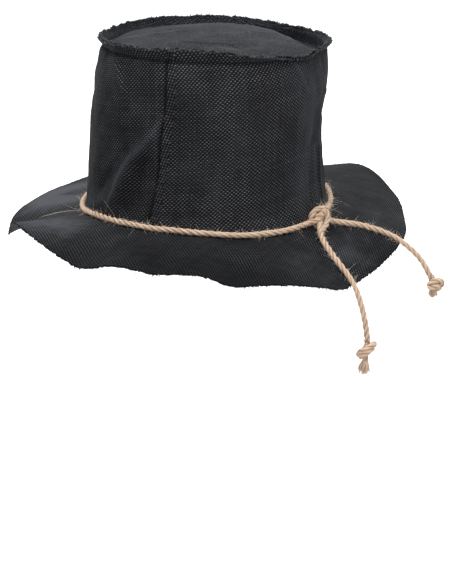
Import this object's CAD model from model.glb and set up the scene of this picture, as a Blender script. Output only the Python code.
import math

import bmesh
import bpy
import numpy as np
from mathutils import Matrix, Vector, noise


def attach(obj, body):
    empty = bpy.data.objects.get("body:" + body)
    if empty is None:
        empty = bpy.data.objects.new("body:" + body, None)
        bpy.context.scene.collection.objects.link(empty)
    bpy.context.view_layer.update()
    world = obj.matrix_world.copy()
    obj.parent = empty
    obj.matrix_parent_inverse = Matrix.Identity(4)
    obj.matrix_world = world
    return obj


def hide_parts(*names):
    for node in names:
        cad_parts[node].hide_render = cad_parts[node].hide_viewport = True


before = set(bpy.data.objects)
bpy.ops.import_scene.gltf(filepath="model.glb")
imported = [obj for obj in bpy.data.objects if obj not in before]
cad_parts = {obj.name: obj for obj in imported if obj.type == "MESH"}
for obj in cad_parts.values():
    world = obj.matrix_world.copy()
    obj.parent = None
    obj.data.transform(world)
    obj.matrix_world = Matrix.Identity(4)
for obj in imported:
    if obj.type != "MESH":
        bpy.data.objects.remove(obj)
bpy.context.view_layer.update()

# A tall soft hat of black sackcloth with a knotted jute cord, in metres.
# Directions round the hat are degrees anticlockwise from +X, so the front is at -90.

print("hat: frame loaded")

camera = {
    "place": (0.0146, -1.253, 0.350),
    "pitchDown": 18.85,  # degrees under the horizon
    "focalLength": 98.9,
    "sensorSize": 36.0,
}


def addCamera():
    data = bpy.data.cameras.new("camera")
    data.lens = camera["focalLength"]
    data.sensor_width = camera["sensorSize"]
    data.clip_start = 0.01
    data.clip_end = 50
    rig = bpy.data.objects.new("camera", data)
    bpy.context.scene.collection.objects.link(rig)
    rig.location = camera["place"]
    rig.rotation_euler = (math.radians(90 - camera["pitchDown"]), 0, 0)
    bpy.context.scene.camera = rig


addCamera()

# Curves through short tables


def throughPoints(places, values):
    places, values = np.array(places, float), np.array(values, float)
    slopes = np.gradient(values, places)

    def valueAt(at):
        at = np.clip(at, places[0], places[-1])
        i = np.clip(np.searchsorted(places, at, side="right") - 1, 0, len(places) - 2)
        span = places[i + 1] - places[i]
        t = (at - places[i]) / span
        rise = values[i + 1] - values[i]
        here, ahead = slopes[i] * span, slopes[i + 1] * span
        return values[i] + t * (here + t * (3 * rise - 2 * here - ahead + t * (here + ahead - 2 * rise)))

    return valueAt


def alongTable(rows, column):
    return throughPoints([row[0] for row in rows], [row[column] for row in rows])


def roundTable(rows, column):
    at = np.array([row[0] for row in rows], float)
    value = np.array([row[column] for row in rows], float)
    at = np.concatenate([at[-3:] - 360, at, at[:3] + 360])
    value = np.concatenate([value[-3:], value, value[:3]])
    curve = throughPoints(at, value)
    return lambda angle: curve(wrapped(angle))


def wrapped(angle):
    return (np.asarray(angle) + 180) % 360 - 180


def unit(vectors):
    return vectors / np.maximum(np.linalg.norm(vectors, axis=-1, keepdims=True), 1e-12)


def lengthAlong(line):
    return np.concatenate([[0], np.cumsum(np.linalg.norm(np.diff(line, axis=0), axis=1))])


def around(first, second, bearing):
    return first * np.cos(bearing)[:, None] + second * np.sin(bearing)[:, None]


# size, seed and octaves of each kind of unevenness
rumples = {
    "crownSoft": (0.030, 3.7, 3),
    "crownFine": (0.0075, 11.3, 2),
    "seamPucker": (0.009, 23.1, 2),
    "headGathers": (0.0065, 31.7, 2),
    "ridgeRagged": (0.0045, 0.0, 3),
    "ridgeWavy": (0.011, 5.0, 2),
    "tipSoft": (0.026, 51.0, 3),
    "tipFine": (0.007, 57.0, 2),
    "brimSoft": (0.028, 71.0, 3),
    "brimFine": (0.0075, 77.0, 2),
    "brimEdge": (0.0015, 83.0, 3),
    "crownWear": (0.028, 131.0, 3),
    "crownMottle": (0.007, 137.0, 2),
    "stripMottle": (0.004, 139.0, 2),
    "tipWear": (0.022, 151.0, 3),
    "tipMottle": (0.005, 157.0, 2),
    "wallMottle": (0.006, 161.0, 2),
    "brimWear": (0.03, 171.0, 3),
    "brimMottle": (0.006, 177.0, 2),
}


def unevenness(points, kind, shift=0.0):  # soft noise of about -1 to 1 at each point
    size, seed, octaves = rumples[kind]
    flat = points.reshape(-1, 3) / size + (seed + shift)
    values = [noise.fractal(Vector(p), 0.9, 2.1, octaves) for p in flat]
    return np.array(values).reshape(points.shape[:-1])


# The hat's form, as in the solids

crown = {
    "footRadius": 0.0985,
    "height": 0.1285,
    "lean": 0.0068,
    "footAllowance": 0.009,
    "cloth": 0.0012,
    "clearance": 0.0003,
    "seamWidth": 0.0075,
    "seamProud": 0.0012,
    "seamStep": 0.0007,
    # height, direction
    "seamLine": [(0.0, -116.8), (0.2, -113.8), (0.45, -110.6), (0.7, -110.6), (1.0, -114)],
    # height, radius, drift
    "sections": [
        (0.0, 1.0, 0.0), (0.03, 0.99, -0.05), (0.07, 0.975, -0.16), (0.14, 0.962, -0.22),
        (0.24, 0.948, -0.28), (0.35, 0.937, -0.31), (0.46, 0.93, -0.3), (0.58, 0.931, -0.12),
        (0.7, 0.932, 0.28), (0.81, 0.923, 0.6), (0.9, 0.906, 0.84), (0.96, 0.893, 0.95),
        (1.0, 0.886, 1.0),
    ],
    # direction at the foot and at the head, lowest and highest share, half width, proud
    "folds": [
        (-142, -114, 0.04, 0.62, 6, 0.034), (-128, -113, 0.04, 0.46, 7, -0.028),
        (-158, -136, 0.04, 0.6, 10, -0.02), (-132, -154, 0.7, 1.05, 5, 0.014),
        (-122, -126, 0.45, 1.0, 8, -0.014), (-65, -57, 0.08, 1.05, 13, 0.02),
        (-31, -48, 0.7, 1.05, 5, 0.016), (-20, -38, 0.72, 1.05, 4.5, 0.014),
        (-38, -27, 0.04, 0.6, 5, 0.016), (-26, -22, 0.04, 0.7, 4.5, -0.018),
        (-15, -16, 0.04, 0.66, 5, 0.016), (178, 178, 0.72, 1.12, 24, 0.028),
        (30, 36, 0.04, 0.75, 9, -0.016), (60, 50, 0.3, 1.05, 12, 0.014),
        (92, 102, 0.04, 0.62, 9, -0.018), (126, 116, 0.2, 1.05, 12, 0.014),
        (160, 148, 0.04, 0.7, 10, -0.016),
    ],
    "ridgeHeight": 0.007,
    # direction, rise, flare
    "ridge": [
        (-180, 0.78, 0.42), (-162, 0.86, 0.4), (-140, 1.1, 0.3), (-122, 1.18, 0.2),
        (-110, 1.38, 0.14), (-98, 1.38, 0.14), (-90, 1.3, 0.16), (-80, 0.96, 0.3),
        (-70, 0.58, 0.38), (-60, 0.25, 0.42), (-51, 0.0, 0.46), (-43, -0.1, 0.5), (-35, 0.12, 0.52),
        (-28, 0.3, 0.5), (-18, 0.36, 0.46), (-6, 0.38, 0.46), (6, 0.46, 0.34), (24, 0.5, 0.08),
        (52, 0.55, 0.1), (78, 0.86, 0.35), (105, 1.05, 0.3), (145, 0.95, 0.42),
    ],
    "rows": 108,
    "insideRows": 34,
    "columns": 470,
    "softRumple": 0.0008,
    "fineRumple": 0.00022,
    "seamPinch": 0.0015,
    "raggedness": 0.0017,
    # raised, lighter or darker, half width, then direction and height along it
    "creases": [
        (0.0010, 0.4, 0.0016, [(-153, 1.0), (-143.7, 0.914), (-135.8, 0.8)]),
        (0.0022, 0.55, 0.0038, [
            (-111.3, 0.67), (-116, 0.55), (-121.7, 0.47), (-129, 0.37), (-134, 0.25), (-140, 0.08),
        ]),
        (-0.0018, -0.45, 0.0050, [(-150, 0.2), (-139, 0.33), (-130, 0.45)]),
        (-0.0016, -0.5, 0.0055, [(-118.7, 0.42), (-124.7, 0.263), (-130, 0.12)]),
        (0.0016, 0.75, 0.0060, [(-160, 0.05), (-146, 0.12)]),
        (0.0000, -0.3, 0.0110, [(-150, 0.62), (-135, 0.6), (-122, 0.62)]),
        (0.0011, 0.9, 0.0016, [(-48, 0.97), (-43, 0.867), (-37.9, 0.788)]),
        (0.0012, 0.8, 0.0020, [(-28, 0.95), (-21.7, 0.847), (-12, 0.72)]),
        (0.0014, 0.8, 0.0024, [(-21.5, 0.42), (-22, 0.27), (-23.6, 0.1)]),
        (-0.0014, -0.7, 0.0022, [(-29.4, 0.43), (-28.3, 0.26), (-29.4, 0.1)]),
        (-0.0010, -0.6, 0.0016, [(-16.5, 0.4), (-17.3, 0.23), (-16.8, 0.08)]),
        (0.0012, 0.7, 0.0034, [(-8, 0.55), (-4, 0.34), (-3, 0.14)]),
        (0.0000, 0.6, 0.0140, [(-36, 0.85), (-30, 0.5), (-36, 0.2)]),
        (0.0000, 0.3, 0.0060, [(-172, 0.9), (-174, 0.5), (-172, 0.15)]),
        (0.0012, 0.3, 0.0040, [(24, 0.95), (30, 0.6), (22, 0.1)]),
        (0.0014, 0.35, 0.0035, [(72, 0.9), (80, 0.5), (76, 0.1)]),
        (0.0012, 0.3, 0.0040, [(-232, 0.85), (-242, 0.45), (-236, 0.1)]),
        (-0.0014, -0.3, 0.0050, [(-210, 0.7), (-202, 0.3)]),
        (0.0000, -0.55, 0.0170, [(-142, 0.86), (-124, 0.9)]),
        (0.0000, 0.4, 0.0060, [(-10, 0.95), (-4, 0.6)]),
    ],
    "seamShade": 1.0,
    "wear": 0.22,
    "mottle": 0.12,
    "stripMottle": 0.5,
    "tabShade": 0.5,
    "tabEdge": 0.6,
    "rimWear": 0.4,
    "ridgeShade": 0.75,
    "pucker": 0.0007,
    "gathers": 0.0006,
    "seamTurn": 26.0,  # degrees that the lapped strip's weave is turned against the rest
    "tabWidth": 3.1,
}


def fromFront(angle):  # -270 to 90, so that only the back's middle is a join
    return wrapped(angle + 90) - 90


def marked(u, v, creases, uSize, vSize):  # height and tone that soft lines add at each place
    raised = np.zeros(np.broadcast(u, v).shape)
    tone = np.zeros(raised.shape)
    for proud, light, width, shares in creases:
        route = [(along * uSize, up * vSize) for along, up in shares]
        away = np.full(raised.shape, 1.0)
        for (fromU, fromV), (toU, toV) in zip(route, route[1:]):
            runU, runV = toU - fromU, toV - fromV
            way = ((u - fromU) * runU + (v - fromV) * runV) / (runU**2 + runV**2)
            way = np.clip(way, 0, 1)
            away = np.minimum(away, np.hypot(u - fromU - way * runU, v - fromV - way * runV))
        near = np.exp(-((away / width) ** 2))
        raised += proud * near
        tone += light * near
    return raised, tone


sectionRadius = alongTable(crown["sections"], 1)
sectionDrift = alongTable(crown["sections"], 2)
seamDirection = alongTable(crown["seamLine"], 1)
ridgeRise = roundTable(crown["ridge"], 1)
ridgeFlare = roundTable(crown["ridge"], 2)
seamSpan = math.degrees(crown["seamWidth"] / crown["footRadius"])
seamEdge = math.degrees(crown["seamStep"] / crown["footRadius"])


def seamAngle(height):
    return seamDirection(height / crown["height"])


def seamLap(turn):
    turn = np.asarray(turn, float)
    shape = np.minimum(1, np.minimum(turn / seamEdge, (seamSpan - turn) / seamEdge))
    return crown["seamProud"] * np.clip(shape, 0, 1)


def foldDepth(angle, share):
    angle, share = np.broadcast_arrays(np.asarray(angle, float), np.asarray(share, float))
    depth = np.zeros(angle.shape)
    for foot, head, low, high, spread, proud in crown["folds"]:
        way = (share - low) / (high - low)
        swell = np.abs(np.sin(np.pi * np.clip(way, 0, 1))) ** 0.7
        off = wrapped(angle - (foot + (head - foot) * way))
        depth += proud * crown["footRadius"] * swell * np.exp(-((off / spread) ** 2))
    return depth


def crownRadius(turn, height):
    share = height / crown["height"]
    plain = crown["footRadius"] * sectionRadius(share)
    return plain + foldDepth(seamAngle(height) + turn, share) + seamLap(turn)


def atAngle(radius, angle, height):
    radius, angle, height = np.broadcast_arrays(radius, angle, height)
    drift = crown["lean"] * sectionDrift(height / crown["height"])
    bearing = np.radians(angle)
    return np.stack([drift + radius * np.cos(bearing), radius * np.sin(bearing), height], -1)


def ridgePoint(turn, share, depth):
    top = crown["height"]
    angle = seamAngle(top) + turn
    lean = share * crown["ridgeHeight"] * ridgeFlare(angle)
    height = top + share * crown["ridgeHeight"] * ridgeRise(angle)
    spot = atAngle(crownRadius(turn, np.full_like(turn, top)) + lean - depth, angle, 0 * height + top)
    spot[..., 2] = height
    return spot


tip = {
    "rise": 0.008,
    "fullness": 0.8,
    # from x, from y, to x, to y, half width, proud
    "folds": [
        (-0.86, -0.12, -0.34, 0.12, 0.12, 0.022), (-0.36, -0.62, 0.26, -0.6, 0.1, -0.024),
        (0.5, 0.75, 0.86, 0.25, 0.16, -0.034), (0.1, 0.1, 0.7, -0.1, 0.3, 0.014),
        (-0.7, 0.5, -0.4, 0.72, 0.18, -0.022),
    ],
    "columns": 300,
    "rows": 44,
    "ridgeRows": 7,
    "softRumple": 0.0006,
    "fineRumple": 0.00018,
    # behind this line the tip sags: across, back, offset, over what distance, how deep
    "sags": [(0.871, 0.492, 0.50, 0.20, 0.0088), (-0.995, 0.1, 0.86, 0.12, 0.0022)],
    # raised, lighter or darker, half width, then places in shares of the radius
    "creases": [
        (0.0010, 0.7, 0.0022, [
            (-0.88, -0.11), (-0.7, -0.14), (-0.52, -0.08), (-0.34, 0.0), (-0.2, 0.02),
        ]),
        (0.0008, 0.55, 0.0030, [
            (0.3, 0.52), (0.44, 0.28), (0.56, -0.02), (0.72, -0.24), (0.88, -0.38),
        ]),
        (-0.0006, -0.4, 0.0050, [(-0.8, 0.02), (-0.6, 0.06), (-0.4, 0.16)]),
        (-0.0007, -0.8, 0.0012, [
            (-0.32, -0.43), (-0.1, -0.5), (0.14, -0.53), (0.27, -0.7), (0.55, -0.81),
        ]),
        (0.0004, 0.35, 0.0030, [(-0.25, -0.55), (0.1, -0.64), (0.2, -0.78)]),
        (0.0000, 0.3, 0.0090, [(-0.5, 0.5), (-0.1, 0.6), (0.2, 0.55)]),
    ],
}


tipSize = crown["footRadius"] * crown["sections"][-1][1]


def tipHeight(share, angle):
    x = share * np.cos(np.radians(angle))
    y = share * np.sin(np.radians(angle))
    settle = 1 - share**4
    height = tip["rise"] * (1 - share * share) ** tip["fullness"]
    for fromX, fromY, toX, toY, spread, proud in tip["folds"]:
        runX, runY = toX - fromX, toY - fromY
        way = ((x - fromX) * runX + (y - fromY) * runY) / (runX**2 + runY**2)
        near = np.clip(way, 0, 1)
        off = np.hypot(x - fromX - near * runX, y - fromY - near * runY)
        height = height + settle * proud * tipSize * np.exp(-((off / spread) ** 2))
    return height


brim = {
    "width": 0.065,
    "evenFall": 0.55,
    # direction, lift
    "join": [
        (-180, -0.055), (-168, -0.052), (-157, -0.016), (-130, 0.022), (-110, 0.022), (-90, -0.004),
        (-75, -0.04), (-40, -0.046), (-22, -0.01), (10, 0.066), (45, 0.06), (100, 0.02),
        (150, -0.03),
    ],
    # direction, lift, width
    "waves": [
        (-180, -0.42, 1.048), (-175, -0.35, 1.0), (-170, -0.235, 0.96), (-166, -0.14, 0.945),
        (-160, -0.045, 0.94), (-152, -0.012, 0.95), (-144, -0.04, 0.96), (-138, -0.085, 0.97),
        (-132, -0.145, 0.985), (-125, -0.21, 1), (-120.5, -0.18, 1), (-115, -0.115, 1),
        (-109, -0.12, 1), (-103, -0.16, 1), (-96, -0.14, 1), (-90, -0.175, 1), (-84, -0.28, 1),
        (-75, -0.3, 1), (-65, -0.355, 1), (-58, -0.43, 1), (-50, -0.54, 1), (-42, -0.52, 0.975),
        (-32, -0.445, 0.965), (-21, -0.34, 0.975), (-12, -0.26, 0.99), (-2, -0.215, 0.97),
        (8, -0.11, 0.96), (18, -0.03, 0.95), (28, 0.07, 0.96), (38, 0.08, 0.99), (48, -0.01, 1),
        (60, -0.16, 1), (76, -0.26, 1), (92, -0.2, 1), (108, -0.1, 1), (122, -0.14, 1),
        (133, -0.2, 1.02), (145, -0.25, 1.05), (157, -0.29, 1.05), (168, -0.335, 1.065),
    ],
    "creases": [
        (0.0006, 0.6, 0.0013, [
            (-161.8, 1.0), (-162.2, 0.76), (-161.8, 0.5), (-163, 0.3), (-166.6, 0.1),
        ]),
        (-0.0006, -0.9, 0.0036, [(-162.2, 0.62), (-164.4, 0.42), (-166.2, 0.2)]),
        (0.0000, 1.1, 0.0190, [(-193, 0.1), (-196, 0.6), (-208, 0.8), (-216, 0.3)]),
        (0.0000, 0.7, 0.0200, [(-158, 0.7), (-148, 0.5)]),
        (0.0000, -0.6, 0.0300, [(-128, 0.9), (-105, 0.8), (-80, 0.9)]),
        (0.0000, -0.25, 0.0300, [(8, 0.5), (30, 0.8)]),
        (0.0008, -0.4, 0.0022, [(-200, 0.15), (-206, 0.9)]),
        (-0.0006, -0.3, 0.0040, [(-20, 0.3), (12, 0.5)]),
        (0.0006, 0.1, 0.0030, [(-24, 0.5), (8, 0.75)]),
    ],
    "columns": 900,
    "upperRows": 56,
    "lowerRows": 22,
    "softRumple": 0.0006,
    "fineRumple": 0.00018,
    "raggedness": 0.0008,
}

joinLift = roundTable(brim["join"], 1)
waveLift = roundTable(brim["waves"], 1)
waveWidth = roundTable(brim["waves"], 2)


def joinHeight(turn):
    return brim["width"] * joinLift(seamAngle(0) + turn)


def brimPoint(turn, share, side):
    join = joinHeight(turn)
    angle = seamAngle(join) + turn
    fall = brim["width"] * waveLift(angle) - join
    width = brim["width"] * waveWidth(angle)
    reach = np.sqrt(width**2 - fall**2)
    even = brim["evenFall"]
    tilt = np.arctan(fall * (even + 2 * (1 - even) * share) / reach)
    inner = crownRadius(turn, join - crown["cloth"] / 2) + crown["clearance"]
    start = inner - np.where(share > 0, seamLap(turn), 0)
    half = side * crown["cloth"] / 2
    radius = start + share * reach - np.where(share > 0, half * np.sin(tilt), 0)
    height = join + fall * (even * share + (1 - even) * share**2)
    spot = atAngle(radius, angle, 0 * height)
    spot[..., 2] = height + half * np.cos(tilt)
    return spot


def joined(piece, node=None):  # says what the piece rides on, wears and stands for
    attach(piece, "root")
    if node:
        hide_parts(node)


# Cord and knots

cord = {
    "diameter": 0.0045,
    "lay": 0.0178,  # length of one full twist of its three strands
    "strandOffset": 0.46,  # share of the cord's radius
    "strandRadius": 0.57,
    "strandSides": 8,
    "step": 0.0006,  # between its rings
    "bandSteps": 1040,
    "knotGap": 0.0075,  # along the band, filled by the knot's own cords
    # share of the radius and wavelength by which it thickens and thins
    "slowSwell": (0.1, 0.011),
    "quickSwell": (0.07, 0.0047),
    "strandSwell": (0.05, 0.006),
    "knotAngle": -31.5,
    "knotRise": 0.003,
    "fuzzPerMetre": 3600,
    "fuzzLength": 0.0027,
    "fuzzRadius": 0.000072,
    "strayShare": 0.07,
    "strayLength": 0.0085,
    # one long loose fibre on the left: root, middle, end
    "longFibre": [(-0.1005, -0.0245, -0.0006), (-0.1172, -0.0380, 0.0014), (-0.1335, -0.0510, -0.0002)],
    "longFibreRadius": 0.00022,
}
cordRadius = cord["diameter"] / 2

# Each point is measured from the band's middle at the knot.
frontTailRoute = [
    (0.0014, -0.0090, -0.0020), (0.0010, -0.0140, -0.0037), (0.0012, -0.0196, -0.0055),
    (0.0023, -0.0265, -0.0082), (0.0042, -0.0327, -0.0110), (0.0070, -0.0377, -0.0143),
    (0.0098, -0.0425, -0.0175), (0.0131, -0.0466, -0.0210), (0.0164, -0.0505, -0.0245),
    (0.0199, -0.0539, -0.0281), (0.0227, -0.0573, -0.0317), (0.0252, -0.0596, -0.0358),
    (0.0271, -0.0614, -0.0400), (0.0286, -0.0630, -0.0443), (0.0312, -0.0656, -0.0527),
    (0.0332, -0.0677, -0.0615), (0.0346, -0.0691, -0.0706), (0.0352, -0.0697, -0.0764),
]
rightTailRoute = [
    (0.0076, -0.0004, -0.0012), (0.0128, -0.0001, -0.0027), (0.0176, 0.0008, -0.0037),
    (0.0223, 0.0017, -0.0046), (0.0271, 0.0028, -0.0055), (0.0319, 0.0039, -0.0065),
    (0.0367, 0.0044, -0.0076), (0.0414, 0.0042, -0.0090), (0.0461, 0.0041, -0.0105),
    (0.0509, 0.0039, -0.0121), (0.0556, 0.0033, -0.0139), (0.0603, 0.0026, -0.0160),
    (0.0649, 0.0016, -0.0186), (0.0696, 0.0003, -0.0220), (0.0742, -0.0011, -0.0257),
    (0.0789, -0.0025, -0.0303), (0.0826, -0.0037, -0.0349), (0.0862, -0.0049, -0.0408),
    (0.0902, -0.0062, -0.0480),
]

tailRoutes = {"front": frontTailRoute, "right": rightTailRoute}

# Knots, drawn as they are seen from the front: right, up and towards the viewer.
knots = {
    "cordRadius": 0.0022,
    "proud": 0.0035,  # how far the band's knot stands off the crown
    "endCordRadius": 0.0024,
    "leftStart": (-10.0, -8.0),  # degrees from the knot, where its cords join the band
    "rightStart": (15.0, 11.5, 9.0),
    "rightRise": (0.0, 0.0008, 0.0018),
    # the band's left end, over the front and through to the right tail
    "across": [
        (-0.0074, -0.0057, 0.0072), (-0.0044, -0.0048, 0.0066), (-0.0022, -0.0036, 0.0042),
        (0.0006, -0.0026, 0.0008), (0.0030, -0.0026, -0.0014),
    ],
    # the band's right end, over the top, down the left side and under
    "arch": [
        (0.0038, 0.0050, -0.0036), (-0.0004, 0.0050, 0.0016), (-0.0050, 0.0032, 0.0042),
        (-0.0079, -0.0004, 0.0054), (-0.0084, -0.0036, 0.0044), (-0.0066, -0.0066, 0.0034),
        (-0.0034, -0.0076, 0.0044), (-0.0016, -0.0078, 0.0056),
    ],
    "rightLeg": [
        (0.0004, 0.0028, 0.0022), (0.0034, 0.0019, 0.0032), (0.0046, -0.0016, 0.0034),
        (0.0040, -0.0054, 0.0044), (0.0026, -0.0088, 0.0068), (0.0006, -0.0114, 0.0100),
        (-0.0010, -0.0138, 0.0138),
    ],
    "underArch": [
        (-0.0056, -0.0026, 0.0032), (-0.0026, -0.0006, 0.0036), (0.0006, 0.0004, 0.0030),
        (0.0036, 0.0006, 0.0010),
    ],
    "tailRoot": [
        (-0.0002, -0.0028, 0.0002), (-0.0010, -0.0046, 0.0026), (-0.0015, -0.0060, 0.0044),
    ],
    "frontWrap": [
        (0.0006, 0.0070, 0.0000), (0.0004, 0.0030, -0.0002), (-0.0020, -0.0018, -0.0030),
        (-0.0050, -0.0040, -0.0016), (-0.0056, -0.0030, 0.0014), (-0.0034, -0.0012, 0.0036),
        (0.0006, 0.0010, 0.0040), (0.0044, 0.0032, 0.0028), (0.0060, 0.0036, 0.0000),
        (0.0040, 0.0018, -0.0030), (0.0000, -0.0010, -0.0038),
    ],
    "frontUnder": [
        (-0.0058, -0.0056, 0.0006), (-0.0030, -0.0042, 0.0030), (0.0012, -0.0018, 0.0034),
        (0.0042, 0.0004, 0.0014), (0.0020, -0.0012, -0.0024), (-0.0006, -0.0050, -0.0002),
        (-0.0010, -0.0090, 0.0004),
    ],
    "frontTuftTop": (-0.0009, -0.0076, 0.0004),
    "rightWrap": [
        (-0.0024, 0.0050, 0.0000), (-0.0016, 0.0020, -0.0006), (-0.0026, -0.0014, -0.0026),
        (-0.0040, -0.0014, 0.0008), (-0.0020, 0.0010, 0.0034), (0.0014, 0.0024, 0.0038),
        (0.0048, 0.0014, 0.0024), (0.0054, -0.0010, -0.0002), (0.0030, -0.0016, -0.0030),
        (-0.0010, -0.0008, -0.0034),
    ],
    "rightUnder": [
        (-0.0046, -0.0034, 0.0014), (-0.0012, -0.0030, 0.0034), (0.0026, -0.0026, 0.0028),
        (0.0034, -0.0050, 0.0006),
    ],
    "rightTuftTop": (-0.0005, -0.0036, 0.0004),
    "frontShift": (-0.0011, -0.0006, 0),
    "rightShift": (-0.0004, 0.0012, 0),
    "reach": 0.00527,  # from a cord's end to the middle of its knot
    "tuftFall": (-0.12, 0, -1),
    "frontTuft": 0.0142,
    "rightTuft": 0.0092,
    "tuftFibres": 110,
}


def smoothRoute(points, spacing):
    points = np.array(points, float)
    points = np.vstack([2 * points[0] - points[1], points, 2 * points[-1] - points[-2]])
    pieces = []
    for p0, p1, p2, p3 in zip(points, points[1:], points[2:], points[3:]):
        d0, d1, d2 = (np.linalg.norm(b - a) ** 0.5 for a, b in ((p0, p1), (p1, p2), (p2, p3)))
        leave = ((p1 - p0) / d0 - (p2 - p0) / (d0 + d1) + (p2 - p1) / d1) * d1
        reach = ((p2 - p1) / d1 - (p3 - p1) / (d1 + d2) + (p3 - p2) / d2) * d1
        t = np.linspace(0, 1, 24, endpoint=False)[:, None]
        rise = p2 - p1
        bend = 3 * rise - 2 * leave - reach + t * (leave + reach - 2 * rise)
        pieces.append(p1 + t * (leave + t * bend))
    line = np.vstack([*pieces, points[-2:-1]])
    along = lengthAlong(line)
    even = np.linspace(0, along[-1], max(3, round(along[-1] / spacing) + 1))
    return np.stack([np.interp(even, along, line[:, k]) for k in range(3)], 1)


def framesAlong(line):  # tangents with two square directions that don't spin
    tangents = unit(np.gradient(line, axis=0))
    start = np.cross(tangents[0], (0.0, 0.0, 1.0))
    if np.linalg.norm(start) < 0.1:
        start = np.cross(tangents[0], (1.0, 0.0, 0.0))
    across = [unit(start)]
    for tangent in tangents[1:]:
        across.append(unit(across[-1] - tangent * np.dot(across[-1], tangent)))
    across = np.array(across)
    return tangents, across, np.cross(tangents, across)


def smoothMesh(name, points, faces):
    mesh = bpy.data.meshes.new(name)
    mesh.from_pydata(points, [], faces)
    mesh.polygons.foreach_set("use_smooth", [True] * len(mesh.polygons))
    return mesh


def placed(name, data):
    piece = bpy.data.objects.new(name, data)
    bpy.context.scene.collection.objects.link(piece)
    return piece


def meshPiece(name, points, faces, coordinates, depth):
    mesh = smoothMesh(name, points.tolist(), faces)
    layer = mesh.uv_layers.new(name="yarns")
    layer.data.foreach_set("uv", np.asarray(coordinates, np.float32).ravel())
    mesh.attributes.new("depth", "FLOAT", "POINT").data.foreach_set("value", depth.astype(np.float32))
    shape = bmesh.new()
    shape.from_mesh(mesh)
    bmesh.ops.recalc_face_normals(shape, faces=shape.faces)
    shape.to_mesh(mesh)
    shape.free()
    return placed(name, mesh)


def tubeFaces(rings, sides, first):
    faces = []
    for i in range(rings - 1):
        for k in range(sides):
            a, b = first + i * sides + k, first + i * sides + (k + 1) % sides
            faces.append((a, b, b + sides, a + sides))
    faces.append(tuple(first + k for k in range(sides))[::-1])
    faces.append(tuple(first + (rings - 1) * sides + k for k in range(sides)))
    return faces


def swell(kind, along, turned):
    share, wavelength = kind
    return share * np.sin(along / wavelength + turned)


def twistedCord(name, lines, radius, seed):
    random = np.random.default_rng(seed)
    points, faces, spots, depths = [], [], [], []
    count = 0
    sides = cord["strandSides"]
    for line in lines:
        tangents, across, up = framesAlong(line)
        along = lengthAlong(line)
        start = random.uniform(0, 2 * np.pi)
        slow, quick = (swell(cord[kind], along, turned) for kind, turned in
                       (("slowSwell", start), ("quickSwell", 2 * start)))
        uneven = 1 + slow + quick
        for strand in range(3):
            bearing = start + 2 * np.pi * (along / cord["lay"] + strand / 3)
            outwards = around(across, up, bearing)
            middle = line + outwards * (radius * cord["strandOffset"] * uneven)[:, None]
            forward = unit(np.gradient(middle, axis=0))
            first = unit(outwards - forward * (outwards * forward).sum(1)[:, None])
            second = np.cross(forward, first)
            wide = 1 + swell(cord["strandSwell"], along, strand * 2.1 + start)
            thick = radius * cord["strandRadius"] * wide
            turn = np.linspace(0, 2 * np.pi, sides, endpoint=False)
            ring = around(first[:, None], second[:, None], turn)
            rings = middle[:, None] + ring * thick[:, None, None]
            points.append(rings.reshape(-1, 3))
            depths.append(np.tile((1 + np.cos(turn)) / 2, len(line)))
            newFaces = tubeFaces(len(line), sides, count)
            faces += newFaces
            for face in newFaces[:-2]:
                low, side = divmod(face[0] - count, sides)
                girth = 2 * np.pi * thick[low] / sides
                near, far = side * girth, (side + 1) * girth
                behind, ahead = along[low], along[low + 1]
                spots += [(near, behind), (far, behind), (far, ahead), (near, ahead)]
            spots += [(0, 0)] * (2 * sides)
            count += len(line) * sides
    return meshPiece(name, np.vstack(points), faces, 1000 * np.array(spots), np.concatenate(depths))


def looseFibres(name, roots, ways, bends, lengths, radii):  # thin pointed hairs, three sides each
    roots, ways, bends = (np.asarray(a, float) for a in (roots, ways, bends))
    lengths, radii = np.asarray(lengths, float), np.asarray(radii, float)
    times = np.array([0.02, 0.3, 0.55, 0.8])
    profile = np.array([0.9, 1.0, 0.85, 0.6])

    def lineAt(t):
        return roots + lengths[:, None] * (ways * t + bends * t * t)

    square = unit(np.cross(ways, bends + 0.3 * np.roll(ways, 1, axis=1) + (1e-3, 2e-3, 3e-3)))
    other = unit(np.cross(ways, square))
    rings = []
    for t, share in zip(times, profile):
        middle = lineAt(t)
        for k in range(3):
            bearing = 2 * np.pi * k / 3
            offset = square * math.cos(bearing) + other * math.sin(bearing)
            rings.append(middle + offset * (radii * share)[:, None])
    points = np.stack([lineAt(0), *rings, lineAt(1.0)], 1)
    per = points.shape[1]
    pattern = []
    for k in range(3):
        n = (k + 1) % 3
        pattern.append((0, 1 + n, 1 + k))
        for r in range(len(times) - 1):
            a, b = 1 + 3 * r + k, 1 + 3 * r + n
            pattern += [(a, b, b + 3), (a, b + 3, a + 3)]
        last = 1 + 3 * (len(times) - 1)
        pattern.append((last + k, last + n, per - 1))
    faces = (np.arange(len(roots))[:, None, None] * per + np.array(pattern)[None]).reshape(-1, 3)
    return placed(name, smoothMesh(name, points.reshape(-1, 3).tolist(), faces.tolist()))


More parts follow.
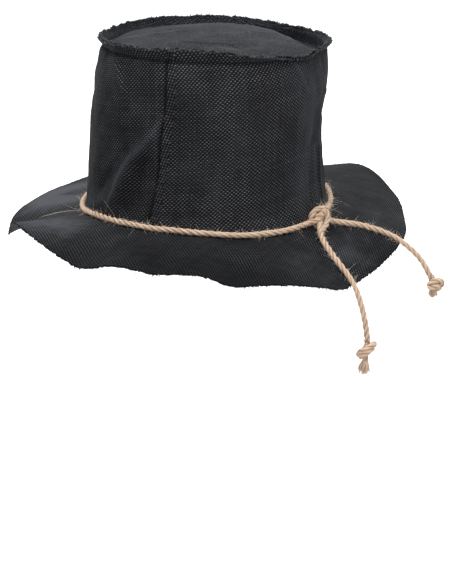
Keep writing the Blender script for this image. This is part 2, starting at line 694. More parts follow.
def fuzzOn(name, lines, seed, loose=None):
    random = np.random.default_rng(seed)
    parts = []
    for line in lines:
        tangents, across, up = framesAlong(line)
        length = np.linalg.norm(np.diff(line, axis=0), axis=1).sum()
        count = int(length * cord["fuzzPerMetre"])
        spots = random.integers(0, len(line), count)
        bearing = random.uniform(0, 2 * np.pi, count)
        outwards = around(across[spots], up[spots], bearing)
        stray = random.uniform(0, 1, count) < cord["strayShare"]
        lean = random.normal(0, 1.0, count)
        ways = unit(outwards + tangents[spots] * lean[:, None] + random.normal(0, 0.25, (count, 3)))
        bends = random.normal(0, 0.4, (count, 3)) * (1 + 0.6 * stray[:, None])
        short = cord["fuzzLength"] * (0.3 + random.gamma(1.5, 0.45, count))
        long = cord["strayLength"] * random.uniform(0.4, 1.1, count)
        radii = cord["fuzzRadius"] * random.uniform(0.6, 1.4, count)
        roots = line[spots] + outwards * cordRadius * 0.8
        parts.append((roots, ways, bends, np.where(stray, long, np.minimum(short, 0.005)), radii))
    if loose:
        root, middle, end = np.array(loose)
        bend = 2 * (end - root) - 4 * (middle - root)
        parts.append(([root], [end - root - bend], [bend], [1.0], [cord["longFibreRadius"]]))
    return looseFibres(name, *(np.concatenate(column) for column in zip(*parts)))


def bandPoint(angle):
    angle = np.asarray(angle, float)
    turn = (angle - seamAngle(0)) % 360
    height = joinHeight(turn) + crown["cloth"] / 2 + crown["clearance"] + cordRadius
    beside = np.maximum(0, np.abs(wrapped(turn - seamSpan / 2)) - seamSpan / 2)
    overSeam = crown["seamProud"] * np.exp(-((beside / seamSpan) ** 2))
    plain = crownRadius(turn, height) - seamLap(turn)
    return atAngle(plain + overSeam + crown["clearance"] + cordRadius, angle, height)


knotCentre = bandPoint(cord["knotAngle"])


def asSeen(steps, middle):  # right, up and towards the viewer, turned into the hat's own axes
    pitch = math.radians(camera["pitchDown"])
    right = np.array((1.0, 0.0, 0.0))
    up = np.array((0.0, math.sin(pitch), math.cos(pitch)))
    near = np.array((0.0, -math.cos(pitch), math.sin(pitch)))
    steps = np.array(steps, float)
    return middle + steps[:, :1] * right + steps[:, 1:2] * up + steps[:, 2:] * near


def spunTuft(name, top, fall, length, seed):
    random = np.random.default_rng(seed)
    count = knots["tuftFibres"]
    fall = unit(np.array(fall, float))
    side = unit(np.cross(fall, (0.0, 1.0, 0.0)))
    front = np.cross(fall, side)
    bearing = random.uniform(0, 2 * np.pi, count)
    spread = np.sqrt(random.uniform(0, 1, count))
    outwards = around(side, 0.75 * front, bearing)
    roots = top + outwards * (cordRadius * 0.75 * spread)[:, None]
    ways = unit(fall + outwards * (0.5 * spread)[:, None] + random.normal(0, 0.05, (count, 3)))
    bends = outwards * random.uniform(-0.34, -0.06, count)[:, None] + random.normal(0, 0.06, (count, 3))
    lengths = length * random.uniform(0.85, 1.02, count) * (1 - 0.16 * spread**2)
    radii = random.uniform(0.00024, 0.00042, count)
    return looseFibres(name, roots, ways, bends, lengths, radii)


def ropeLine(points):
    return smoothRoute(points, cord["step"])


def bandKnotRoutes(frontTail, rightTail):
    bearing = math.radians(cord["knotAngle"])
    outwards = np.array((math.cos(bearing), math.sin(bearing), 0)) * knots["proud"]
    middle = knotCentre + (0, 0, cord["knotRise"]) + outwards
    lefts = bandPoint(cord["knotAngle"] + np.array(knots["leftStart"]))
    rights = bandPoint(cord["knotAngle"] + np.array(knots["rightStart"]))
    rights[:, 2] += knots["rightRise"]
    across = np.vstack([lefts, asSeen(knots["across"], middle), rightTail[:2]])
    arch = np.vstack([rights, asSeen(knots["arch"], middle)])
    tailRoot = np.vstack([asSeen(knots["tailRoot"], middle), frontTail[:2]])
    inside = [asSeen(knots[name], middle) for name in ("rightLeg", "underArch")]
    return [ropeLine(route) for route in (across, arch, tailRoot, *inside)]


def addEndKnot(side, tailLine, seed):
    centre = tailLine[-1] + unit(tailLine[-1] - tailLine[-4]) * knots["reach"]
    centre = asSeen([knots[side + "Shift"]], centre)[0]
    wrap = asSeen(knots[side + "Wrap"], centre)
    lines = [ropeLine(np.vstack([tailLine[-4:-3], wrap])), ropeLine(asSeen(knots[side + "Under"], centre))]
    knot = twistedCord(side + "EndKnot", lines, knots["endCordRadius"], seed)
    top = asSeen([knots[side + "TuftTop"]], centre)[0]
    tuft = spunTuft(side + "Tuft", top, knots["tuftFall"], knots[side + "Tuft"], seed + 1)
    return knot, tuft, lines


def addCords():
    made = {}
    routes = {side: np.array(route) + knotCentre for side, route in tailRoutes.items()}
    gap = math.degrees(cord["knotGap"] / crown["footRadius"])
    first, last = cord["knotAngle"] + 2 * gap, cord["knotAngle"] + 360 - 1.7 * gap
    angles = np.linspace(first, last, cord["bandSteps"])
    bandLine = bandPoint(angles)
    bandRope = twistedCord("bandRope", [bandLine], cordRadius, 11)
    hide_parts("band_cord")
    knotLines = bandKnotRoutes(routes["front"], routes["right"])
    bandKnotRope = twistedCord("bandKnotRope", knotLines, knots["cordRadius"], 12)
    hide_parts("band_knot")
    bandFuzz = fuzzOn("bandFuzz", [bandLine, *knotLines], 13, cord["longFibre"])
    made["band"] = (bandRope, bandKnotRope, bandFuzz)
    for side, seed in (("front", 21), ("right", 31)):
        line = ropeLine(routes[side])
        tail = twistedCord(side + "Tail", [line], cordRadius, seed)
        joined(tail, "tail_cord_" + side)
        endKnot, tuft, knotLines = addEndKnot(side, line, seed + 1)
        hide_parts("end_knot_" + side)
        fuzz = fuzzOn(side + "Fuzz", [line, *knotLines], seed + 3)
        made[side] = (endKnot, tuft, fuzz, tail)
    for group in made.values():
        for piece in group[:3]:
            joined(piece)
    return made


cordPieces = addCords()
print("hat: cords and knots made")

# Cloth

weave = {
    "warpPitch": 0.00164,
    "weftPitch": 0.00142,
    "crownTurn": 5.6,  # degrees that the cloth is turned on the hat
    "tipTurn": 4.0,
    "brimTurn": -30.0,
}


def inYarns(along, up, turned):
    angle = math.radians(turned)
    warp = along * math.cos(angle) + up * math.sin(angle)
    weft = -along * math.sin(angle) + up * math.cos(angle)
    return np.stack([warp / weave["warpPitch"], weft / weave["weftPitch"]], -1)


def sweptCloth(name, sections, yarns, yarnsAhead, tone, capped=False):
    columns, rows = sections.shape[:2]
    spans = rows - 1 if capped else rows
    column = np.arange(columns)[:, None]
    row = np.arange(spans)[None, :]
    after = (column + 1) % columns
    below = (row + 1) % rows
    corners = [column * rows + row, after * rows + row, after * rows + below, column * rows + below]
    faces = np.stack(np.broadcast_arrays(*corners), -1).reshape(-1, 4)
    ahead = (yarnsAhead[column + 1, here] for here in (row, below))
    spots = [yarns[column, row], *ahead, yarns[column, below]]
    places = np.stack(spots, 2).reshape(-1, 2)
    piece = meshPiece(name, sections.reshape(-1, 3), faces.tolist(), places, tone.ravel())
    if capped:
        shape = bmesh.new()
        shape.from_mesh(piece.data)
        bmesh.ops.remove_doubles(shape, verts=shape.verts, dist=1e-7)
        shape.to_mesh(piece.data)
        shape.free()
    return piece


def crownMarks(angle, height):
    scale = math.radians(1) * crown["footRadius"]
    return marked(fromFront(angle) * scale, height, crown["creases"], scale, crown["height"])


def crownTurns():
    lap = [0, seamEdge, *np.linspace(0, seamSpan, 11)[2:-1], seamSpan - seamEdge]
    rest = np.linspace(seamSpan, 358.4, crown["columns"], endpoint=False)
    return np.concatenate([lap, rest, [358.4, 358.9, 359.3, 359.6, 359.85]])


def bell(off, width):
    return np.exp(-((off / width) ** 2))


def crownTone(turns, heights):
    turn, height = turns[:, None], heights[None, :]
    below = np.minimum(height, crown["height"])
    angle = seamAngle(below) + turn
    tone = crownMarks(angle, below)[1]
    spots = atAngle(crown["footRadius"], angle, height)
    wear = crown["wear"] * unevenness(spots, "crownWear")
    tone = tone + wear + crown["mottle"] * unevenness(spots * (1, 1, 0.5), "crownMottle")
    off = wrapped(turn) * math.radians(1) * crown["footRadius"]
    above = height - crown["height"]
    onRidge = np.clip(above / 0.001, 0, 1)
    tone = tone - crown["seamShade"] * bell(off + 0.0007, 0.0016) * (1 - onRidge)
    inLap = np.clip(np.minimum(turn, seamSpan - turn) / 0.5, 0, 1)
    tone = tone + inLap * (crown["stripMottle"] * unevenness(spots * (1, 1, 2), "stripMottle") - 0.05)
    inTab = onRidge * np.clip(np.minimum(turn, crown["tabWidth"] - turn) / 0.15, 0, 1)
    tabEdge = onRidge * bell(turn - crown["tabWidth"] - 0.3, 0.22)
    tone = tone - crown["tabShade"] * inTab + crown["tabEdge"] * tabEdge
    rim = bell(above - crown["ridgeHeight"], 0.0009)
    return tone + crown["rimWear"] * rim - crown["ridgeShade"] * bell(above + 0.0002, 0.0011)


def nearSeam(turn, width):
    return bell(wrapped(turn - seamSpan / 2), width)


def crownSkin(turns, heights, depth, detailed):
    height = heights[None, :]
    turn = turns[:, None]
    radius = crownRadius(turn, height)
    angle = seamAngle(height) + turn
    if detailed:
        spots = atAngle(radius, angle, height)
        soft = unevenness(spots, "crownSoft")
        fine = unevenness(spots, "crownFine")
        pucker = unevenness(spots * (1, 1, 3), "seamPucker") * nearSeam(turn, 4.0)
        top = bell(height - crown["height"], 0.012)
        gathers = unevenness(spots * (1, 1, 0.15), "headGathers") * top
        settle = np.clip((height + 0.001) / 0.012, 0, 1)
        radius = radius + settle * (crown["softRumple"] * soft + crown["fineRumple"] * fine)
        radius = radius + settle * (crown["pucker"] * pucker + crown["gathers"] * gathers)
        radius = radius - crown["seamPinch"] * bell(height - crown["height"], 0.0022)
        radius = radius + settle * crownMarks(angle, height)[0]
    return atAngle(radius - depth, angle, height)


def ridgeSkin(turns, shares, depth, shift):
    turn, share = turns[:, None], shares[None, :]
    angle = seamAngle(crown["height"]) + turn
    rise, flare = ridgeRise(angle), ridgeFlare(angle)
    steep = np.hypot(rise, flare)
    turned = np.sqrt(share)
    spots = ridgePoint(turn + 0 * share, share + 0 * turn, 0)
    inwards = unit(spots * (-1, -1, 0)) * depth
    spots = spots + inwards * (1 - turned + turned * rise / steep)[..., None]
    spots[..., 2] += depth * turned * flare / steep
    ragged = unevenness(spots, "ridgeRagged", shift)
    wavy = unevenness(spots * (1, 1, 0.1), "ridgeWavy", shift)
    outwards = unit(spots * (1, 1, 0))
    spots = spots + outwards * (share * 0.0007 * wavy)[..., None]
    spots[..., 2] += share[0] ** 3 * (crown["raggedness"] * ragged)
    spots[..., :2] -= outwards[..., :2] * (crown["seamPinch"] * (1 - share) ** 3)[..., None]
    return spots


def addCrownSide():
    turns = crownTurns()
    heights = np.linspace(-crown["footAllowance"], crown["height"], crown["rows"])
    insideHeights = np.linspace(crown["height"], -crown["footAllowance"], crown["insideRows"])
    ridgeShares = np.linspace(0.14, 1, 7)
    cloth = crown["cloth"]
    outer = crownSkin(turns, heights, 0, True)
    inner = crownSkin(turns, insideHeights, cloth + 0.0002, False)
    outerRidge = ridgeSkin(turns, ridgeShares, 0, 41.0)
    innerRidge = ridgeSkin(turns, ridgeShares, cloth, 41.0)[:, ::-1]
    sections = np.concatenate([outer, outerRidge, innerRidge, inner], 1)
    top = crown["height"] + ridgeShares * crown["ridgeHeight"]
    up = np.concatenate([heights, top, top[::-1], insideHeights])
    along = np.radians(np.append(turns, 360)) * crown["footRadius"] * 0.95
    yarns = inYarns(along[:, None], up[None, :], weave["crownTurn"])
    strip = inYarns(along[:, None], up[None, :], weave["crownTurn"] + crown["seamTurn"])
    lapped = np.count_nonzero(turns < seamSpan - seamEdge / 2)
    left = np.concatenate([strip[:lapped], yarns[lapped:]])
    right = np.concatenate([strip[: lapped + 1], yarns[lapped + 1 :]])
    piece = sweptCloth("crownCloth", sections, left, right, crownTone(turns, up))
    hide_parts("crown_side")
    return piece, outerRidge[:, -1]


def tipSkin(turns, shares, lift):
    turn, share = turns[:, None], shares[None, :]
    angle = seamAngle(crown["height"]) + turn
    top = np.full_like(turn, crown["height"])
    rim = crownRadius(turn, top) - crown["cloth"] - crown["clearance"] - crown["seamPinch"] * 0.8
    spots = atAngle(share * (rim - lift), angle, top + 0 * share)
    settle = 1 - share**6
    soft = unevenness(spots, "tipSoft") * settle
    fine = unevenness(spots, "tipFine") * settle
    height = tipHeight(share, angle) + tip["softRumple"] * soft + tip["fineRumple"] * fine
    x, y = share * np.cos(np.radians(angle)), share * np.sin(np.radians(angle))
    height = height + tipMarks(x, y)[0] * settle - tipSag(x, y)[0]
    spots[..., 2] = crown["height"] + height + lift
    return spots


def tipSag(x, y):
    depth, shade = 0, 0
    for across, back, offset, over, deep in tip["sags"]:
        way = np.clip((across * x + back * y - offset) / over, 0, 1)
        eased = way * way * (3 - 2 * way)
        depth = depth + deep * eased
        shade = shade + eased
    return depth, shade


def tipMarks(x, y):
    return marked(x * tipSize, y * tipSize, tip["creases"], tipSize, tipSize)


def tipTone(x, y, spots):
    tone = tipMarks(x, y)[1] - 0.28 * tipSag(x, y)[1]
    soft = 0.35 * unevenness(spots, "tipWear") + 0.25 * unevenness(spots, "tipMottle")
    return tone + soft


def wallBetween(lower, upper, steps):
    share = np.linspace(0, 1, steps + 2)[None, 1:-1, None]
    return lower * (1 - share) + upper * share


def addTip():
    turns = np.linspace(0, 360, tip["columns"], endpoint=False)
    shares = np.linspace(0, 1, tip["rows"]) ** 0.9
    underShares = np.linspace(0, 1, 16)
    ridgeShares = np.linspace(0.16, 1, tip["ridgeRows"])
    layer = crown["cloth"] + crown["clearance"]
    under = tipSkin(turns, underShares, 0)
    upper = tipSkin(turns, shares[::-1], crown["cloth"])
    outside = ridgeSkin(turns, ridgeShares, layer, 61.0)
    inside = ridgeSkin(turns, ridgeShares, layer + crown["cloth"], 61.0)[:, ::-1]
    outerWall = wallBetween(under[:, -1:], outside[:, :1], 4)
    innerWall = wallBetween(inside[:, -1:], upper[:, :1], 4)
    sections = np.concatenate([under, outerWall, outside, inside, innerWall, upper], 1)
    edge = np.ones(4 + len(ridgeShares))
    rows = np.concatenate([underShares, edge * 2, edge * 2, shares[::-1]])
    beyond = 1 + np.linalg.norm(sections - upper[:, :1], axis=2) / tipSize
    reach = np.where(rows > 1, beyond, rows)
    angle = np.radians(seamAngle(crown["height"]) + np.append(turns, 360))[:, None]
    closed = np.concatenate([reach, reach[:1]])
    ways = tipSize * closed
    yarns = inYarns(ways * np.cos(angle), ways * np.sin(angle), weave["tipTurn"])
    across, back = reach * np.cos(angle[:-1]), reach * np.sin(angle[:-1])
    soft = 0.25 * unevenness(sections, "wallMottle")
    tone = np.where(rows > 1, soft, tipTone(across, back, sections))
    piece = sweptCloth("tipCloth", sections, yarns, yarns, tone, capped=True)
    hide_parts("crown_tip")
    return piece, inside[:, 0]


def brimMarks(angle, share):
    scale = math.radians(1) * (crown["footRadius"] + brim["width"] / 2)
    places = fromFront(angle) * scale, share[None, :] * brim["width"]
    return marked(*places, brim["creases"], scale, brim["width"])


def addBrim():
    lap = [0, seamEdge, seamSpan / 2, seamSpan - seamEdge]
    turns = np.concatenate([lap, np.linspace(seamSpan, 360, brim["columns"], endpoint=False)])
    upper = np.linspace(1, 0, brim["upperRows"]) ** 0.92
    lower = np.linspace(0, 1, brim["lowerRows"])
    skins = []
    for shares, side in ((lower, -1), (upper, 1)):
        turn, share = turns[:, None], shares[None, :]
        spots = brimPoint(turn + 0 * share, share + 0 * turn, side)
        settle = np.clip(share * 5, 0, 1)
        soft = unevenness(spots * (1, 1, 0.2), "brimSoft") * settle
        fine = unevenness(spots * (1, 1, 0.2), "brimFine") * settle
        edge = unevenness(spots * (1, 1, 0), "brimEdge") * share**24
        spots[..., 2] += brim["softRumple"] * soft + brim["fineRumple"] * fine
        outwards = unit(spots * (1, 1, 0))
        spots = spots + (outwards * (1, 1, 0) - (0, 0, 0.9)) * (brim["raggedness"] * edge)[..., None]
        skins.append(spots)
    sections = np.concatenate(skins, 1)
    reach = np.concatenate([lower, upper])
    closed = np.append(turns, 360)
    angle = seamAngle(0) + closed
    size = crown["footRadius"] + reach[None, :] * brim["width"] * waveWidth(angle)[:, None]
    x = size * np.cos(np.radians(angle))[:, None]
    y = size * np.sin(np.radians(angle))[:, None]
    yarns = inYarns(x, y, weave["brimTurn"])
    tone = 0.3 * unevenness(sections, "brimWear") + 0.15 * unevenness(sections, "brimMottle")
    piece = sweptCloth("brimCloth", sections, yarns, yarns, tone + brimMarks(angle[:-1, None], reach)[1])
    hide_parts("brim")
    return piece, skins[0][:, -1], skins[0][:, -3]


frays = {
    "everyYarn": 0.0015,
    "length": 0.0009,
    "radius": 0.0005,
    "lift": 0.35,
    "hairLength": 0.0018,
    "hairRadius": 0.00006,
}


def frayedEdge(name, edge, outwards, seed, hairs, droop=0.0):
    random = np.random.default_rng(seed)
    closed = np.vstack([edge, edge[:1]])
    along = lengthAlong(closed)
    ends = int(along[-1] / frays["everyYarn"])
    spots = np.concatenate([
        (np.arange(ends) + random.uniform(-0.2, 0.2, ends)) * frays["everyYarn"],
        random.uniform(0, along[-1], hairs),
    ]) % along[-1]
    roots = np.stack([np.interp(spots, along, closed[:, k]) for k in range(3)], 1)
    nearest = np.clip(np.searchsorted(along, spots) - 1, 0, len(edge) - 1)
    out = outwards[nearest]
    forward = unit(np.roll(edge, -1, axis=0) - edge)[nearest]
    count = len(spots)
    yarn = np.arange(count) < ends
    lean = np.where(yarn, random.normal(0, 0.25, count), random.normal(0, 0.9, count))
    lift = random.normal(-droop, frays["lift"], (count, 1)) * np.array((0, 0, 1.0))
    ways = unit(out + forward * lean[:, None] + lift)
    bends = random.normal(0, 0.3, (count, 3))
    lengths = np.where(
        yarn,
        frays["length"] * (0.6 + random.gamma(1.4, 0.35, count)),
        frays["hairLength"] * (0.3 + random.gamma(1.5, 0.45, count)),
    )
    radii = np.where(yarn, frays["radius"], frays["hairRadius"]) * random.uniform(0.6, 1.2, count)
    roots = roots - out * 0.0004
    return looseFibres(name, roots, ways, bends, np.minimum(lengths, 0.007), radii)


def addCloth():
    side, ridgeEdge = addCrownSide()
    top, innerEdge = addTip()
    ring, rimEdge, rimInside = addBrim()
    upright = np.tile((0.0, 0.0, 1.0), (len(ridgeEdge), 1))
    ridgeOut = unit(unit(ridgeEdge * (1, 1, 0)) * 0.45 + upright)
    innerOut = unit(unit(innerEdge * (1, 1, 0)) * 0.2 + upright[: 1])
    ridgeFray = frayedEdge("ridgeFray", ridgeEdge, ridgeOut, 91, 60)
    tipFray = frayedEdge("tipFray", innerEdge, innerOut, 92, 50)
    brimFray = frayedEdge("brimFray", rimEdge, unit(rimEdge - rimInside), 93, 220, 0.9)
    return {"crown": (side, ridgeFray), "tip": (top, tipFray), "brim": (ring, brimFray)}


clothPieces = addCloth()
print("hat: cloth made")

# Materials


class Nodes:  # short names for wiring a node tree
    def __init__(self, tree):
        self.tree = tree

    def add(self, kind, **settings):
        node = self.tree.nodes.new(kind)
        for name, value in settings.items():
            setattr(node, name, value)
        return node

    def feed(self, socket, value):
        if isinstance(value, bpy.types.NodeSocket):
            self.tree.links.new(value, socket)
        elif value is not None:
            socket.default_value = value

    def fill(self, node, values):
        for name, value in values.items():
            self.feed(node.inputs[name], value)
        return node

    def math(self, operation, *values):
        node = self.add("ShaderNodeMath", operation=operation)
        return self.fill(node, dict(enumerate(values))).outputs[0]

    def plus(self, a, b):
        return self.math("ADD", a, b)

    def minus(self, a, b):
        return self.math("SUBTRACT", a, b)

    def times(self, a, b):
        return self.math("MULTIPLY", a, b)

    def timesPlus(self, a, b, c):
        return self.math("MULTIPLY_ADD", a, b, c)

    def vector(self, operation, a, b=None, scale=None):
        node = self.add("ShaderNodeVectorMath", operation=operation)
        return self.fill(node, {0: a, 1: b, 3: scale}).outputs[0]

    def between(self, value, low, high):  # smooth 0 to 1
        node = self.add("ShaderNodeMapRange", interpolation_type="SMOOTHSTEP")
        return self.fill(node, {"Value": value, "From Min": low, "From Max": high}).outputs["Result"]

    def mix(self, share, a, b):
        return self.fill(self.add("ShaderNodeMix", data_type="RGBA"), {0: share, 6: a, 7: b}).outputs[2]

    def noise(self, vector, scale, detail=2.0, roughness=0.5, output="Fac"):
        values = {"Vector": vector, "Scale": scale, "Detail": detail, "Roughness": roughness}
        return self.fill(self.add("ShaderNodeTexNoise"), values).outputs[output]

    def bump(self, height, distance, strength):
        values = {"Height": height, "Distance": distance, "Strength": strength}
        return self.fill(self.add("ShaderNodeBump"), values).outputs[0]

    def place(self):
        return self.add("ShaderNodeTexCoord").outputs["Object"]

    def yarns(self):
        return self.add("ShaderNodeUVMap", uv_map="yarns").outputs["UV"]

    def depth(self):
        return self.add("ShaderNodeAttribute", attribute_name="depth").outputs["Fac"]

    def group(self, tree, values):
        return self.fill(self.add("ShaderNodeGroup", node_tree=tree), values).outputs


number, colouring = "NodeSocketFloat", "NodeSocketColor"


def newGroup(name, inputs, outputs):
    tree = bpy.data.node_groups.new(name, "ShaderNodeTree")
    for label, kind, value in inputs:
        socket = tree.interface.new_socket(name=label, in_out="INPUT", socket_type=kind)
        if value is not None:
            socket.default_value = value
    for label, kind in outputs:
        tree.interface.new_socket(name=label, in_out="OUTPUT", socket_type=kind)
    nodes = Nodes(tree)
    return tree, nodes, nodes.add("NodeGroupInput").outputs, nodes.add("NodeGroupOutput").inputs


def newMaterial(name):
    material = bpy.data.materials.new(name)
    material.use_nodes = True
    return material, Nodes(material.node_tree), material.node_tree.nodes["Principled BSDF"]


def makeWeave():
    tree, n, given, gives = newGroup(
        "sackWeave",
        [
            ("Yarns", "NodeSocketVector", None),
            ("Wander", number, 0.25),
            ("Rows", number, 0.4),
            ("Climb", number, 0.65),
            ("Sparse", number, -0.15),
        ],
        [("Height", number), ("Crossings", number), ("Gaps", number), ("Slub", number)],
    )
    drift = n.noise(given["Yarns"], 0.05, output="Color")
    centred = n.vector("SUBTRACT", drift, (0.5, 0.5, 0.5))
    wander = n.vector("SCALE", centred, scale=n.times(given["Wander"], 8.0))
    split = n.fill(n.add("ShaderNodeSeparateXYZ"), {0: n.vector("ADD", given["Yarns"], wander)})
    warp, weft = split.outputs[0], split.outputs[1]

    def yarnAcross(at):  # rounded profile of one yarn, 0 in the gap beside it
        off = n.minus(n.math("FRACT", at), 0.5)
        square = n.math("POWER", n.math("ABSOLUTE", n.times(off, 2.25)), 2.0)
        return n.math("SQRT", n.math("MAXIMUM", n.minus(1.0, square), 0.0))

    def yarnHeight(at, other, shift):  # over and under the yarns that it crosses
        phase = n.plus(n.times(other, math.pi), n.times(n.math("FLOOR", at), math.pi))
        over = n.math("COSINE", n.plus(phase, shift))
        return n.times(yarnAcross(at), n.timesPlus(over, 0.42, 0.58))

    def yarnTone(at, seed):
        white = n.add("ShaderNodeTexWhiteNoise", noise_dimensions="1D")
        return n.fill(white, {"W": n.plus(n.math("FLOOR", at), seed)}).outputs["Value"]

    def blend(share, a, b):
        return n.plus(n.times(a, share), n.times(b, n.minus(1.0, share)))

    height = n.math("MAXIMUM", yarnHeight(warp, weft, -math.pi / 2), yarnHeight(weft, warp, math.pi / 2))
    climbing = n.math("COSINE", n.times(n.minus(warp, weft), math.pi))
    falling = n.math("COSINE", n.times(n.minus(n.plus(warp, weft), 1.0), math.pi))
    rows = n.math("COSINE", n.times(n.minus(weft, 0.5), 2 * math.pi))
    pattern = blend(given["Rows"], rows, blend(given["Climb"], climbing, falling))
    n.feed(gives["Height"], height)
    n.feed(gives["Crossings"], n.between(pattern, given["Sparse"], 0.95))
    n.feed(gives["Gaps"], n.minus(1.0, n.between(height, 0.05, 0.5)))
    n.feed(gives["Slub"], n.times(n.plus(yarnTone(warp, 0.0), yarnTone(weft, 31.0)), 0.5))
    return tree


def makePatches():
    tree, n, given, gives = newGroup(
        "patchyWear", [("Size", number, 30.0)], [("Patches", number), ("Specks", number)]
    )
    scaled = n.vector("SCALE", n.place(), scale=given["Size"])
    n.feed(gives["Patches"], n.between(n.noise(scaled, 1.0, 3.0, 0.55), 0.3, 0.7))
    n.feed(gives["Specks"], n.between(n.noise(scaled, 38.0, 1.0), 0.35, 0.65))
    return tree


def makeTones():  # lighter where the tone is over 0, darker where it is under
    tree, n, given, gives = newGroup(
        "wornAndShaded",
        [
            ("Cloth", colouring, None),
            ("Tone", number, 0.0),
            ("Worn", colouring, None),
            ("Shade", colouring, None),
            ("Most Worn", number, 0.75),
            ("Most Shaded", number, 0.85),
        ],
        [("Colour", colouring)],
    )

    def share(tone, most):
        return n.times(n.math("MINIMUM", n.math("MAXIMUM", tone, 0.0), 1.0), most)

    worn = n.mix(share(given["Tone"], given["Most Worn"]), given["Cloth"], given["Worn"])
    shaded = share(n.times(given["Tone"], -1.0), given["Most Shaded"])
    n.feed(gives["Colour"], n.mix(shaded, worn, given["Shade"]))
    return tree


def makeFlecks():
    tree, n, given, gives = newGroup(
        "juteFlecks", [("Pale", colouring, None), ("Mid", colouring, None)], [("Colour", colouring)]
    )
    blotch = n.between(n.noise(n.place(), 140.0, 3.0), 0.3, 0.7)
    n.feed(gives["Colour"], n.mix(blotch, given["Mid"], given["Pale"]))
    return tree


weaveGroup = makeWeave()
patchGroup = makePatches()
toneGroup = makeTones()
fleckGroup = makeFlecks()

clothLooks = {
    "crown": {
        "dark": (0.0055, 0.0058, 0.0065),
        "light": (0.114, 0.118, 0.128),
        "worn": (0.036, 0.039, 0.046),
        "rows": 0.25,
        "climb": 0.62,
        "sparse": -0.15,
        "grain": 0.5,
        "patches": 32.0,
    },
    "tip": {
        "dark": (0.006, 0.0064, 0.0072),
        "light": (0.059, 0.067, 0.079),
        "worn": (0.048, 0.052, 0.060),
        "rows": 0.5,
        "climb": 0.5,
        "sparse": -0.15,
        "grain": 2.0,
        "patches": 19.0,
    },
    "brim": {
        "dark": (0.002, 0.0022, 0.0025),
        "light": (0.062, 0.065, 0.072),
        "worn": (0.066, 0.071, 0.082),
        "rows": 0.25,
        "climb": 0.12,
        "sparse": 0.1,
        "grain": 0.6,
        "patches": 32.0,
    },
    "roughness": 0.82,
    "gloss": 0.15,  # how much smoother the lit yarns are
    "wander": 0.22,
    "yarnHeight": 0.0005,
    "bump": 0.55,
    "sheen": 0.02,
    "sheenTint": (0.75, 0.83, 1.0, 1),
    "specular": 0.1,
    "patchShare": 0.55,
    "slub": 0.8,
    "gaps": 0.8,
    "mostWorn": 0.75,
    "mostShaded": 0.85,
}


def clothMaterial(part):
    looks = clothLooks[part]
    dark, light, worn = ((*looks[tone], 1) for tone in ("dark", "light", "worn"))
    deep = (*(0.35 * c for c in looks["dark"]), 1)
    material, n, shader = newMaterial(part + "Sackcloth")
    settings = {"Rows": looks["rows"], "Climb": looks["climb"], "Sparse": looks["sparse"]}
    woven = n.group(weaveGroup, {"Yarns": n.yarns(), "Wander": clothLooks["wander"], **settings})
    handled = n.group(patchGroup, {"Size": looks["patches"]})
    share, slub, grain = clothLooks["patchShare"], clothLooks["slub"], looks["grain"]
    lit = n.times(woven["Crossings"], n.timesPlus(handled["Patches"], share, 1 - share))
    slubbed = n.times(lit, n.timesPlus(woven["Slub"], slub, 1 - slub / 2))
    grained = n.times(slubbed, n.timesPlus(handled["Specks"], grain, 1 - grain / 2))
    colour = n.mix(n.times(woven["Gaps"], clothLooks["gaps"]), n.mix(grained, dark, light), deep)
    most = {"Most Worn": clothLooks["mostWorn"], "Most Shaded": clothLooks["mostShaded"]}
    toned = n.group(toneGroup, {"Cloth": colour, "Tone": n.depth(), "Worn": worn, "Shade": deep, **most})
    n.fill(shader, {
        "Base Color": toned["Colour"],
        "Roughness": n.minus(clothLooks["roughness"], n.times(lit, clothLooks["gloss"])),
        "Normal": n.bump(woven["Height"], clothLooks["yarnHeight"], clothLooks["bump"]),
        "Sheen Weight": clothLooks["sheen"],
        "Sheen Roughness": 0.5,
        "Sheen Tint": clothLooks["sheenTint"],
        "Specular IOR Level": clothLooks["specular"],
    })
    return material


frayLooks = {
    "dark": (0.012, 0.013, 0.015, 1),
    "light": (0.045, 0.049, 0.056, 1),
    "roughness": 0.85,
    "sheen": 0.1,
}


def frayMaterial():
    material, n, shader = newMaterial("frayedYarn")
    tone = n.between(n.noise(n.place(), 260.0), 0.35, 0.65)
    colour = n.mix(tone, frayLooks["dark"], frayLooks["light"])
    finish = {"Roughness": frayLooks["roughness"], "Sheen Weight": frayLooks["sheen"]}
    n.fill(shader, {"Base Color": colour, **finish})
    return material


juteLooks = {
    "pale": (0.62, 0.46, 0.34),
    "mid": (0.50, 0.35, 0.245),
    "groove": (0.30, 0.19, 0.12),
    "shade": (0.70, 0.53, 0.41),
    "hair": (0.78, 0.69, 0.59),
    "roughness": 0.8,
    "specular": 0.3,
    "fibreTurn": 24,  # degrees that the fibres slant round a strand
    "fibreHeight": 0.0003,
    "bump": 0.7,
}


def juteMaterial(name, paleTone, midTone, twisted=False):
    pale, mid, groove = ((*juteLooks[tone], 1) for tone in (paleTone, midTone, "groove"))
    material, n, shader = newMaterial(name)
    colour = n.group(fleckGroup, {"Pale": pale, "Mid": mid})["Colour"]
    if twisted:
        turned = (0, 0, math.radians(juteLooks["fibreTurn"]))
        stretched = {"Vector": n.yarns(), "Rotation": turned, "Scale": (5.0, 0.55, 1)}
        spun = n.fill(n.add("ShaderNodeMapping"), stretched).outputs[0]
        fibres = n.noise(spun, 1.0, 3.0, 0.6)
        colour = n.mix(n.times(n.between(fibres, 0.35, 0.62), 0.6), colour, pale)
        colour = n.mix(n.between(n.depth(), 0.9, 0.25), colour, groove)
        n.fill(shader, {"Normal": n.bump(fibres, juteLooks["fibreHeight"], juteLooks["bump"])})
    finish = {"Roughness": juteLooks["roughness"], "Specular IOR Level": juteLooks["specular"]}
    n.fill(shader, {"Base Color": colour, **finish})
    return material


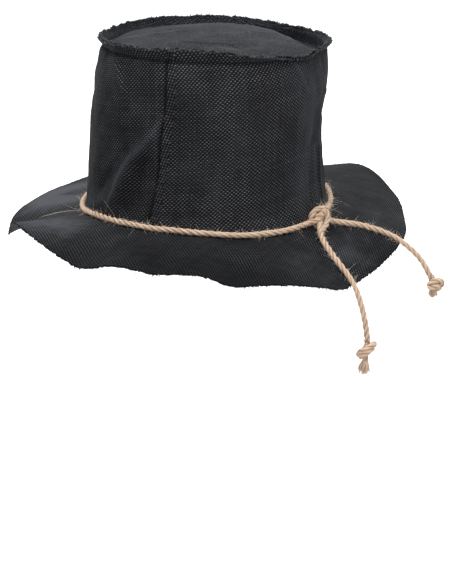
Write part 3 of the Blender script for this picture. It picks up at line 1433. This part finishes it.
def dress():
    fray = frayMaterial()
    for part, slot in (("crown", "crown_cloth"), ("tip", "tip_cloth"), ("brim", "brim_cloth")):
        cloth, edge = clothPieces[part]
        cloth.data.materials.append(clothMaterial(part))
        edge.data.materials.append(fray)
        for piece in (cloth, edge):
            joined(piece)
    rope = juteMaterial("juteCord", "pale", "mid", twisted=True)
    spun = juteMaterial("juteTuft", "pale", "shade")
    hairs = juteMaterial("juteHairs", "hair", "pale")
    for group in cordPieces.values():
        for piece in group:
            kind = hairs if "Fuzz" in piece.name else spun if "Tuft" in piece.name else rope
            piece.data.materials.append(kind)


dress()
print("hat: materials made")

studio = {
    "floorHeight": -0.62,
    "floorSize": 12.0,
    "floorRoughness": 0.9,
    "floorColour": (0.93, 0.93, 0.93),
    "worldColour": (1.0, 1.0, 1.0),
    "worldStrength": 0.3,
    # name, place, size, watts, looks at
    "lamps": [
        ("overhead", (-0.1, -0.35, 1.5), 1.3, 34.0, (0, 0, 0.05)),
        ("frontLeft", (-1.1, -1.5, 0.9), 0.8, 5.0, (0, 0, 0.05)),
        ("frontRight", (1.3, -1.3, 0.6), 0.7, 11.0, (0, 0, 0.05)),
        ("farFloor", (0.0, 3.0, 1.6), 3.0, 165.0, (0, 3.4, -0.62)),
    ],
}


def addStudio():
    scene = bpy.context.scene
    mesh = bpy.data.meshes.new("floor")
    half, height = studio["floorSize"] / 2, studio["floorHeight"]
    corners = [(-half, -half, height), (half, -half, height), (half, half, height), (-half, half, height)]
    mesh.from_pydata(corners, [], [(0, 1, 2, 3)])
    floor = placed("floor", mesh)
    paint, n, shader = newMaterial("paleFloor")
    n.fill(shader, {"Base Color": (*studio["floorColour"], 1), "Roughness": studio["floorRoughness"]})
    mesh.materials.append(paint)
    world = bpy.data.worlds.new("studio")
    world.use_nodes = True
    sky = world.node_tree.nodes["Background"]
    sky.inputs["Color"].default_value = (*studio["worldColour"], 1)
    sky.inputs["Strength"].default_value = studio["worldStrength"]
    scene.world = world
    for name, place, size, watts, target in studio["lamps"]:
        lamp = bpy.data.lights.new(name, "AREA")
        lamp.size = size
        lamp.energy = watts
        holder = placed(name, lamp)
        holder.location = place
        holder.rotation_euler = (Vector(target) - Vector(place)).to_track_quat("-Z", "Y").to_euler()
    scene.view_settings.view_transform = "Standard"


addStudio()
print("hat: studio lit")
